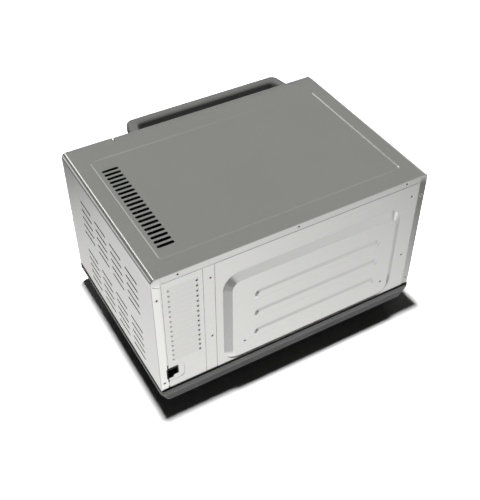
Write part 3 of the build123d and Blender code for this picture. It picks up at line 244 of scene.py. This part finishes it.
def prism(bm, outline, lift, place):
    """Solid between an outline in its own XY plane and the same outline lifted along Z."""
    low = [bm.verts.new(place @ Vector((x, y, 0.0))) for x, y in outline]
    high = [bm.verts.new(place @ Vector((x, y, lift))) for x, y in outline]
    bm.faces.new(low[::-1])
    bm.faces.new(high)
    for start, low_vert in enumerate(low):
        after = (start + 1) % len(low)
        bm.faces.new((low_vert, low[after], high[after], high[start]))


def ring_points(radius, count, turn=0.0):
    steps = [turn + math.tau * step / count for step in range(count)]
    return [(radius * math.cos(angle), radius * math.sin(angle)) for angle in steps]


def rear_face(x, y, z):
    """Placement on a face that looks along +Y, its own X to the left and its own Z outwards."""
    return Matrix.Translation((x * MM, y * MM, z * MM)) @ Matrix(
        ((-1, 0, 0, 0), (0, 0, 1, 0), (0, 1, 0, 0), (0, 0, 0, 1)))


def box_mm(node):
    """Lowest and highest corner of a CAD node, in millimetres."""
    return [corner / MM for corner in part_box(node)]


def middle_mm(node):
    low, high = box_mm(node)
    return (low + high) / 2


cover_low, cover_high = box_mm("outer_cover")
FRONT, REAR = cover_low.y, cover_high.y
BASE_TOP, TOP = cover_low.z, cover_high.z
SCREW_SPOTS = [(x, REAR, TOP - 6.0) for x in (-207.0, 0.0, 206.5)]
SCREW_SPOTS += [(side * 242.5, REAR, BASE_TOP + z) for side in (-1, 1) for z in (17.0, 209.0)]
SCREW_SPOTS += [(154.0, REAR, BASE_TOP + z) for z in (83.0, 213.0)]
SCREW_SPOTS += [(-222.0, REAR + 0.2, BASE_TOP + z) for z in (83.5, 214.5)]
SCREW_SPOTS += [(x, REAR + 7.2, BASE_TOP + 46.0) for x in (98.5, -176.0)]


# Discs that fill the screw recesses: painted shade for the dark inside of each recess.
def socket_floors(bm):
    for x, y, z in SCREW_SPOTS:
        prism(bm, ring_points(1.65 * MM, 12), 0.97 * MM, rear_face(x, y - 0.95, z))


def corner_gussets(bm):
    """Plates under the mitred corners of the rear flange."""
    outline = ((232.4, 237.1), (231.2, 239.5), (235.6, 250.4), (243.0, 249.8), (247.2, 245.6),
               (248.4, 238.7), (236.0, 231.5))
    for side in (-1, 1):
        points = [(-side * x * MM, z * MM) for x, z in outline]
        prism(bm, points, 0.7 * MM, rear_face(0.0, REAR - 0.95, BASE_TOP))


LOUVRES = 15
LOUVRE_PITCH = 10.98
LOUVRE_ROWS = [BASE_TOP + 66.6 + LOUVRE_PITCH * step for step in range(LOUVRES)]


def louvre_ends(x):
    """Builder of the small discs at one end of the louvres, coloured with painted shade for the dark slit
    openings there.
    """
    def build(bm):
        for z in LOUVRE_ROWS:
            points = [(px * 1.15, pz) for px, pz in ring_points(1.5 * MM, 14)]
            prism(bm, points, 1.35 * MM, rear_face(x, REAR + 0.2, z - 0.3))
    return build


# near-black painted shade for the screw recesses
painted_hole_shade = moulded("socket_painted_shade", 0.004, 0.9, wear=1.0, Specular_IOR_Level=0.1)
mesh_piece("screw_sockets", socket_floors, painted_hole_shade, "case")
mesh_piece("flange_gussets", corner_gussets, materials["painted_cover"], "case")
# painted shade: darker discs at the near ends and paler ones at the far ends, standing for the shaded
# openings of the slits
mesh_piece("louvre_slit_shade_near", louvre_ends(177.2),
           brushed_metal("slit_shade", 0.19, 0.24, (400, 400, 400), 0.1 * MM), "case")
mesh_piece("louvre_slit_shade_far", louvre_ends(223.6),
           brushed_metal("slit_pale_shade", 0.54, 0.24, (400, 400, 400), 0.1 * MM), "case")


# ---- front panel graphics: flat inked shapes, in millimetres to the right and up ----------
def front_face(x, y, z):
    """Placement on a face that looks along -Y, its own X to the right and its own Z outwards."""
    return Matrix.Translation((x * MM, y * MM, z * MM)) @ Matrix(
        ((1, 0, 0, 0), (0, 0, -1, 0), (0, 1, 0, 0), (0, 0, 0, 1)))


def bar(bm, start, end, width, lift, place):
    """Straight stroke of a given width between two points."""
    along = (Vector(end) - Vector(start)).normalized() * (width / 2)
    across = Vector((-along.y, along.x))
    a, b = Vector(start) - along, Vector(end) + along
    points = [tuple(MM * corner) for corner in (a - across, b - across, b + across, a + across)]
    prism(bm, points, lift, place)


def outline_mm(points):
    return [(x * MM, y * MM) for x, y in points]


INK = 0.12 * MM
CHEVRON = [(-3.8, -1.8), (0.0, 3.2), (3.8, -1.8), (2.6, -2.9), (0.0, 0.4), (-2.6, -2.9)]
KEY_SHAPES = {
    "start": [(-3.0, -3.6), (4.0, 0.0), (-3.0, 3.6)],
    "stop": [(-3.2, -3.2), (3.2, -3.2), (3.2, 3.2), (-3.2, 3.2)],
    "up": CHEVRON,
    "down": [(x, -z) for x, z in CHEVRON[:1] + CHEVRON[:0:-1]],
}
pale_ink = moulded("pale_ink", 0.62, 0.5, wear=1.05)
key_inks = {"start": moulded("green_ink", 0.3, 0.5, tint=(0.35, 1.0, 0.45), wear=1.05),
            "stop": moulded("red_ink", 0.42, 0.5, tint=(1.0, 0.18, 0.13), wear=1.05)}


def key_mark(node, shape):
    """Builder of the symbol on a button's cap."""
    def build(bm):
        centre, face = middle_mm(node), box_mm(node)[0].y
        prism(bm, outline_mm(shape), INK, front_face(centre.x, face, centre.z))
    return build


for key, shape in KEY_SHAPES.items():
    draw = key_mark(key + "_button", shape)
    mesh_piece(key + "_key_mark", draw, key_inks.get(key, pale_ink), key + "_key")

knob = middle_mm("control_knob")
KNOB_FACE = box_mm("control_knob")[0].y
SCALE_TICKS = 31
LONG_EVERY = 5


def knob_scale(bm):
    """Ticks round the knob, longer at every fifth."""
    for step in range(SCALE_TICKS):
        angle = math.radians(225.0 - 9.0 * step)
        reach, width = (24.0, 0.45) if step % LONG_EVERY else (25.6, 0.8)
        ends = [(radius * math.cos(angle), radius * math.sin(angle)) for radius in (22.0, reach)]
        bar(bm, *ends, width, INK, front_face(knob.x, FRONT, knob.z))


def knob_pointer(bm):
    """Paint in the groove of the knob's face."""
    bar(bm, (0.0, 9.0), (0.0, 15.0), 1.5, 0.6 * MM, front_face(knob.x, KNOB_FACE + 0.7, knob.z))


mesh_piece("knob_scale", knob_scale, pale_ink, "case")
mesh_piece("knob_pointer", knob_pointer, pale_ink, "knob")


# ---- display ------------------------------------------------------------------------------
PROFILE = ((-27.0, -18.0), (-19.0, -4.0), (-7.0, -1.0), (0.0, 12.0), (4.0, 16.0), (8.0, 12.0),
           (18.0, -12.0), (24.0, -16.0))
AXIS_X, AXIS_Z = -28.0, -20.0
screen = middle_mm("display_window")
SCREEN_PLACE = front_face(screen.x, box_mm("display_window")[0].y, screen.z)


def display_axes(bm):
    bar(bm, (AXIS_X, AXIS_Z), (27.0, AXIS_Z), 0.5, INK, SCREEN_PLACE)
    bar(bm, (AXIS_X, AXIS_Z), (AXIS_X, 19.0), 0.5, INK, SCREEN_PLACE)
    for step in range(1, 6):
        x, z = AXIS_X + 9.0 * step, AXIS_Z + 6.8 * step
        bar(bm, (x, AXIS_Z), (x, AXIS_Z + 1.4), 0.4, INK, SCREEN_PLACE)
        bar(bm, (AXIS_X, z), (AXIS_X + 1.4, z), 0.4, INK, SCREEN_PLACE)


def display_curve(bm):
    for start, end in zip(PROFILE, PROFILE[1:]):
        bar(bm, start, end, 0.9, INK, SCREEN_PLACE)


def lit(name, color, strength):
    """Glowing display segment over a mottled base."""
    look = Look(name, Emission_Color=(*color, 1.0), Emission_Strength=strength, Roughness=0.4)
    base = look.mix(look.noise(300.0), (*[0.7 * part for part in color], 1.0), (*color, 1.0))
    return look.feed(Base_Color=base)


mesh_piece("display_axes", display_axes, lit("display_grey", (0.35, 0.4, 0.42), 0.5), "case")
mesh_piece("display_curve", display_curve, lit("display_amber", (1.0, 0.5, 0.12), 0.9), "case")


# ---- door window and heaters --------------------------------------------------------------
def rounded_rect(x0, x1, z0, z1, radius, steps=6):
    """Corner points of a rounded rectangle in metres, anticlockwise."""
    points = []
    for cx, cz, first in ((x1 - radius, z1 - radius, 0), (x0 + radius, z1 - radius, 1),
                          (x0 + radius, z0 + radius, 2), (x1 - radius, z0 + radius, 3)):
        for step in range(steps + 1):
            angle = (first + step / steps) * math.pi / 2
            points.append(((cx + radius * math.cos(angle)) * MM, (cz + radius * math.sin(angle)) * MM))
    return points


DOT_COLUMNS = 110
DOT_PITCH = 2.43
DOT_ROWS = ((21.3, 0.9), (23.7, 0.55))       # distance from the glass's edge, and radius
glass_low, glass_high = box_mm("door_outer_glass")


def glass_inset(inset, radius):
    """Rounded outline inside the edge of the outer glass."""
    return rounded_rect(glass_low.x + inset, glass_high.x - inset, glass_low.z + inset,
                        glass_high.z - inset, radius)


def window_border(bm):
    """Printed black frame on the outer glass, with rows of dots along its inner edge."""
    place = front_face(0.0, glass_low.y, 0.0)
    outer, inner = glass_inset(7.7, 7.8), glass_inset(19.5, 6.0)
    rings = [[bm.verts.new(place @ Vector((x, z, lift))) for x, z in points]
             for points, lift in ((outer, 0.0), (outer, INK), (inner, INK), (inner, 0.0))]
    for ring, after in zip(rings, rings[1:] + rings[:1]):
        for start, vert in enumerate(ring):
            end = (start + 1) % len(ring)
            bm.faces.new((vert, ring[end], after[end], after[start]))
    for inset, size in DOT_ROWS:
        for step in range(DOT_COLUMNS):
            x = glass_low.x + 23.0 + DOT_PITCH * step
            for z in (glass_high.z - inset, glass_low.z + inset):
                prism(bm, ring_points(size * MM, 8), INK, front_face(x, glass_low.y, z))


mesh_piece("window_border", window_border, moulded("border_ink", 0.008, 0.25, wear=1.0), "door")


HEATER_PITCH = 70.0
COIL_STEPS = 560
STEPS_PER_TURN = 10
COIL_ADVANCE = 0.596     # along the tube, for each step
COIL_R = 2.6
COIL_WIRE_R = 0.45


def filaments(node):
    """Builder of the coiled wires inside one row of quartz tubes."""
    middle, first_x = middle_mm(node), box_mm(node)[0].x + 6.0
    along = Vector((COIL_WIRE_R, 0, 0))

    def build(bm):
        for row in (-1, 0, 1):
            axis_y = middle.y + row * HEATER_PITCH
            rings = []
            for step in range(COIL_STEPS):
                angle = step * math.tau / STEPS_PER_TURN
                outward = Vector((0.0, math.cos(angle), math.sin(angle)))
                centre = Vector((first_x + COIL_ADVANCE * step, axis_y, middle.z)) + outward * COIL_R
                offsets = (outward * COIL_WIRE_R, along, outward * -COIL_WIRE_R, -along)
                rings.append([bm.verts.new((centre + offset) * MM) for offset in offsets])
            for ring, after in zip(rings, rings[1:]):
                for start in range(4):
                    end = (start + 1) % 4
                    bm.faces.new((ring[start], ring[end], after[end], after[start]))
            bm.faces.new(rings[0][::-1])
            bm.faces.new(rings[-1])
    return build


filament_metal = brushed_metal("filament_metal", 0.3, 0.45, (500, 500, 500), 0.1 * MM,
                               (1.0, 0.88, 0.75))
mesh_piece("upper_filaments", filaments("upper_heater_tubes"), filament_metal, "case")
mesh_piece("lower_filaments", filaments("lower_heater_tubes"), filament_metal, "case")


# ---- stage, light and camera --------------------------------------------------------------
def stage_floor():
    bpy.ops.mesh.primitive_plane_add(size=14.0, location=(0, 0, 0))
    floor = bpy.context.object
    floor.name = "studio_floor"
    look = Look("studio_floor", Roughness=0.9)
    mottle = look.noise(3.0)
    look.feed(Base_Color=look.mix(mottle, grey(0.6), grey(0.64)))
    floor.data.materials.append(look.mat)
    floor.visible_glossy = False


SKY_TINT = (0.985, 1.0, 0.955, 1.0)
GROUND_TINT = (1.0, 0.995, 0.99, 1.0)
# Patches of the room that only mirrors see, as ranges of the unit direction towards each: x, y, z,
# softness and strength.
BRIGHT_PANELS = (
    ((-0.42, 0.10), (0.30, 1.10), (-0.95, -0.12), 0.06, 0.93),
    ((-0.20, 0.06), (0.30, 1.10), (-0.95, -0.45), 0.05, 1.35),
    ((-0.80, 0.10), (0.30, 1.10), (-0.18, 0.34), 0.05, 0.76),
    ((-1.02, -0.77), (0.20, 0.55), (-0.48, -0.15), 0.06, 1.15),
    ((-1.10, -0.68), (-0.75, -0.30), (-0.10, 0.50), 0.08, 0.80),
    ((-0.03, 0.15), (-1.10, -0.40), (0.50, 1.10), 0.05, 2.20),
    ((0.36, 0.46), (-0.72, -0.54), (0.60, 0.74), 0.03, 0.60),
    ((-0.90, 0.90), (-1.10, -0.60), (-0.30, 0.25), 0.07, 0.75),
    ((-0.36, -0.05), (0.08, 0.32), (0.85, 1.10), 0.04, 0.70),
)
DARK_PANELS = (
    ((-0.82, -0.60), (0.25, 0.85), (-0.74, -0.34), 0.04, 0.80),
    ((0.27, 0.48), (0.30, 0.85), (-0.95, -0.50), 0.05, 0.60),
    ((-0.10, 0.60), (-1.10, -0.45), (-0.60, -0.35), 0.07, 0.88),
)


def studio_world(matt_light):
    """Plain surroundings: a weak even light for matt surfaces, and a grey room for mirrors."""
    world = bpy.data.worlds.new("studio")
    world.use_nodes = True
    world.node_tree.nodes.clear()
    room = Graph(world.node_tree)
    direction = room.node("ShaderNodeTexCoord", {}).outputs["Generated"]
    x, y, z = room.node("ShaderNodeSeparateXYZ", {0: direction}).outputs

    def patch(ranges, soft):
        sides = [room.window(value, *limits, soft) for value, limits in zip((x, y, z), ranges)]
        return room.maths("MULTIPLY", room.maths("MULTIPLY", sides[0], sides[1]), sides[2])

    sky = room.span(z, 0.0, 0.5, 0.10, 0.37, "SMOOTHSTEP")
    sky = room.maths("MULTIPLY", sky, room.span(x, 0.02, 0.30, 1.0, 0.55, "SMOOTHSTEP"))
    ground = room.span(z, -0.30, -0.85, 0.28, 1.06)
    seen = room.mix(room.span(z, -0.1, 0.0), ground, sky)
    for *ranges, soft, strength in DARK_PANELS:
        shade = room.span(patch(ranges, soft), 0.0, 1.0, 1.0, 1.0 - strength)
        seen = room.maths("MULTIPLY", seen, shade)
    for *ranges, soft, strength in BRIGHT_PANELS:
        seen = room.maths("MAXIMUM", seen, room.maths("MULTIPLY", patch(ranges, soft), strength))
    path = room.node("ShaderNodeLightPath", {}).outputs
    direct = room.maths("LESS_THAN", path["Diffuse Depth"], 0.5)
    mirrored = room.maths("MULTIPLY", path["Is Glossy Ray"], direct)
    strength = room.maths("ADD", room.maths("MULTIPLY", mirrored, seen), matt_light)
    strength = room.maths("MAXIMUM", strength, path["Is Camera Ray"])
    tint = room.mix(room.span(z, 0.30, 0.45), GROUND_TINT, SKY_TINT)
    background = room.node("ShaderNodeBackground", {"Color": tint, "Strength": strength})
    room.node("ShaderNodeOutputWorld", {"Surface": background.outputs[0]})
    bpy.context.scene.world = world


def softbox(name, place, aim, size, power):
    """Area lamp that lights matt surfaces only."""
    lamp = bpy.data.lights.new(name, "AREA")
    lamp.shape = "RECTANGLE"
    lamp.size, lamp.size_y = size
    lamp.energy = power
    holder = bpy.data.objects.new(name, lamp)
    holder.location = place
    holder.rotation_euler = (Vector(aim) - Vector(place)).to_track_quat("-Z", "Y").to_euler()
    holder.visible_glossy = False
    bpy.context.scene.collection.objects.link(holder)


CAMERA_AZIMUTH = math.radians(150.17)
CAMERA_ELEVATION = math.radians(43.13)
CAMERA_PLACE = (0.5437, 0.9590, 1.1235)
CAMERA_LENS = 59.16


def place_camera():
    data = bpy.data.cameras.new("photo_view")
    data.lens = CAMERA_LENS
    data.sensor_width = 36.0
    camera = bpy.data.objects.new("photo_view", data)
    camera.location = CAMERA_PLACE
    back = Vector((math.sin(CAMERA_AZIMUTH) * math.cos(CAMERA_ELEVATION),
                   -math.cos(CAMERA_AZIMUTH) * math.cos(CAMERA_ELEVATION),
                   math.sin(CAMERA_ELEVATION)))
    camera.rotation_euler = (-back).to_track_quat("-Z", "Y").to_euler()
    bpy.context.scene.collection.objects.link(camera)
    bpy.context.scene.camera = camera


stage_floor()
studio_world(0.003)
softbox("overhead", (0.074, -0.22, 4.73), (0.074, -0.22, 0), (0.32, 0.32), 720)
softbox("rear_fill", (0.9, 2.4, 0.13), (0, 0, 0.10), (1.2, 0.10), 6.5)
softbox("front_fill", (-0.6, -2.4, 0.35), (0, 0, 0.16), (1.4, 0.30), 14)
place_camera()
bpy.context.scene.view_settings.view_transform = "Standard"
